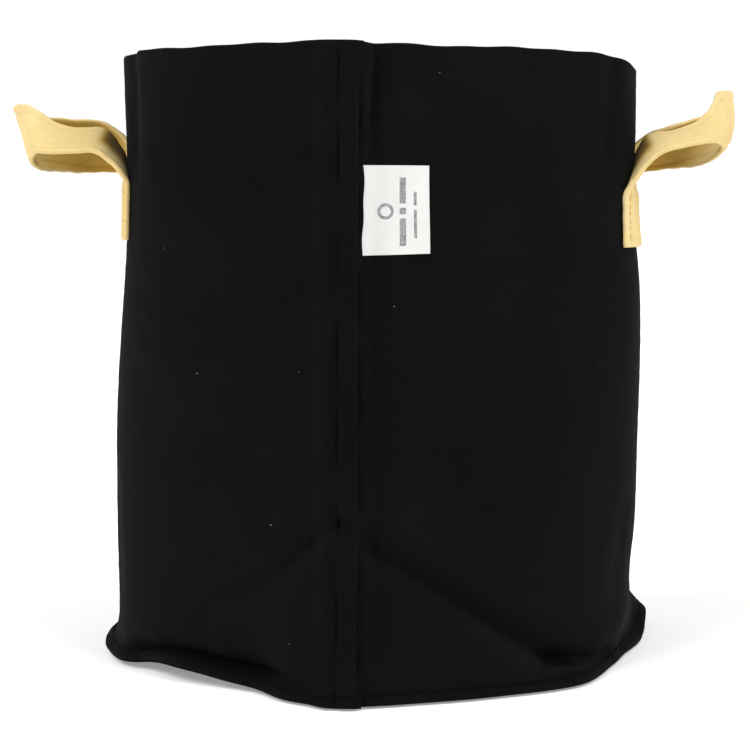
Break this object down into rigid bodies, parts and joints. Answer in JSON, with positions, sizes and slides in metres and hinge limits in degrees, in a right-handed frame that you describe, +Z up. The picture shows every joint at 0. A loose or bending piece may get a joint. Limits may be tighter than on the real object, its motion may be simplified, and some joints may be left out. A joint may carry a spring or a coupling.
{
  "type": "fabric grow bag",
  "caption": "Upright round felt planting bag with a lapped and stitched front seam, sewn-in base, side strap handles and a small sewn-in label.",
  "frame": {"origin": "on the floor, under the middle of the bag's overall box", "axes": "+Z up; the front with the lapped seam and the label faces -Y; the handles stand out to -X and +X"},
  "size_m": [0.4254, 0.2476, 0.3495],
  "materials": {
    "felt_black": "needle-punched felt, matt, fuzzy",
    "strap_tan": "pale tan felt strap, matt, fuzzy cut edges",
    "label_white": "smooth white label cloth with plain grey print",
    "thread_black": "twisted polyester sewing thread",
    "thread_tan": "twisted polyester sewing thread"
  },
  "bodies": {
    "bag": {"wall_panel": "felt_black", "base_disc": "felt_black", "front_seam_topstitch_left": "thread_black", "front_seam_topstitch_right": "thread_black", "front_seam_bobbin_left": "thread_black", "front_seam_bobbin_right": "thread_black", "base_seam_topstitch": "thread_black", "base_seam_bobbin": "thread_black", "handle_left_tab_front": "strap_tan", "handle_left_tab_rear": "strap_tan", "handle_left_stitch_front": "thread_tan", "handle_left_stitch_rear": "thread_tan", "handle_left_bobbin_front": "thread_tan", "handle_left_bobbin_rear": "thread_tan", "handle_right_tab_front": "strap_tan", "handle_right_tab_rear": "strap_tan", "handle_right_stitch_front": "thread_tan", "handle_right_stitch_rear": "thread_tan", "handle_right_bobbin_front": "thread_tan", "handle_right_bobbin_rear": "thread_tan"},
    "handle_left": {"handle_left_loop": "strap_tan"},
    "handle_right": {"handle_right_loop": "strap_tan"},
    "label_flap": {"label": "label_white"}
  },
  "joints": [
    {"name": "handle_left_swing", "type": "hinge", "parent": "bag", "child": "handle_left", "pos_m": [-0.1575, 0.023, 0.306], "axis": [0, 1, 0], "range_deg": [-45, 75], "stiffness_Nm_per_rad": 0.03, "springref_deg": 2.29},
    {"name": "handle_right_swing", "type": "hinge", "parent": "bag", "child": "handle_right", "pos_m": [0.1575, 0.023, 0.306], "axis": [0, -1, 0], "range_deg": [-45, 75], "stiffness_Nm_per_rad": 0.03, "springref_deg": 2.29},
    {"name": "label_lift", "type": "hinge", "parent": "bag", "child": "label_flap", "pos_m": [-0.00875, -0.11163, 0.2628], "axis": [0, 0, -1], "range_deg": [0, 85], "stiffness_Nm_per_rad": 0.0005}
  ]
}
